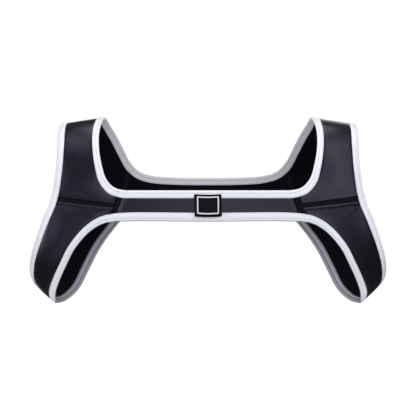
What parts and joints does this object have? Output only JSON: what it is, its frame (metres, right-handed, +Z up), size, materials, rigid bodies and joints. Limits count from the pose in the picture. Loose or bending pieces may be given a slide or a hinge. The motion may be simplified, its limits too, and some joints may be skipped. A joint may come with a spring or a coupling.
{
  "type": "shoulder harness",
  "caption": "Neoprene shoulder harness: chest and back bands joined by arm loops, every edge closed by a pale folded binding, with a bare rubber patch on the chest.",
  "frame": {"origin": "midway between the two shoulder crests, level with the neck edge at the crests, where the harness hangs on the wearer's shoulders", "axes": "+X from the wearer's right shoulder to the left one, +Y from the chest to the back, +Z up"},
  "size_m": [0.482, 0.2003, 0.2587],
  "materials": {
    "neoprene": "matt black knit over neoprene foam",
    "seam_thread": "matt black flat seam of close thread",
    "binding_tape": "matt white woven elastic tape, folded and stitched",
    "patch_rubber": "satin black moulded rubber",
    "patch_line": "satin pale grey moulded line"
  },
  "bodies": {
    "root": {"chest_band": "neoprene", "back_band": "neoprene", "shoulder_panel_left": "neoprene", "shoulder_panel_right": "neoprene", "underarm_panel_left": "neoprene", "underarm_panel_right": "neoprene", "limb_seam_front_left": "seam_thread", "limb_seam_front_right": "seam_thread", "limb_seam_back_left": "seam_thread", "limb_seam_back_right": "seam_thread", "band_seam_front_left": "seam_thread", "band_seam_front_right": "seam_thread", "band_seam_back_left": "seam_thread", "band_seam_back_right": "seam_thread", "neck_binding": "binding_tape", "hem_binding": "binding_tape", "arm_binding_left": "binding_tape", "arm_binding_right": "binding_tape", "patch": "patch_rubber", "patch_frame": "patch_line"}
  },
  "joints": []
}
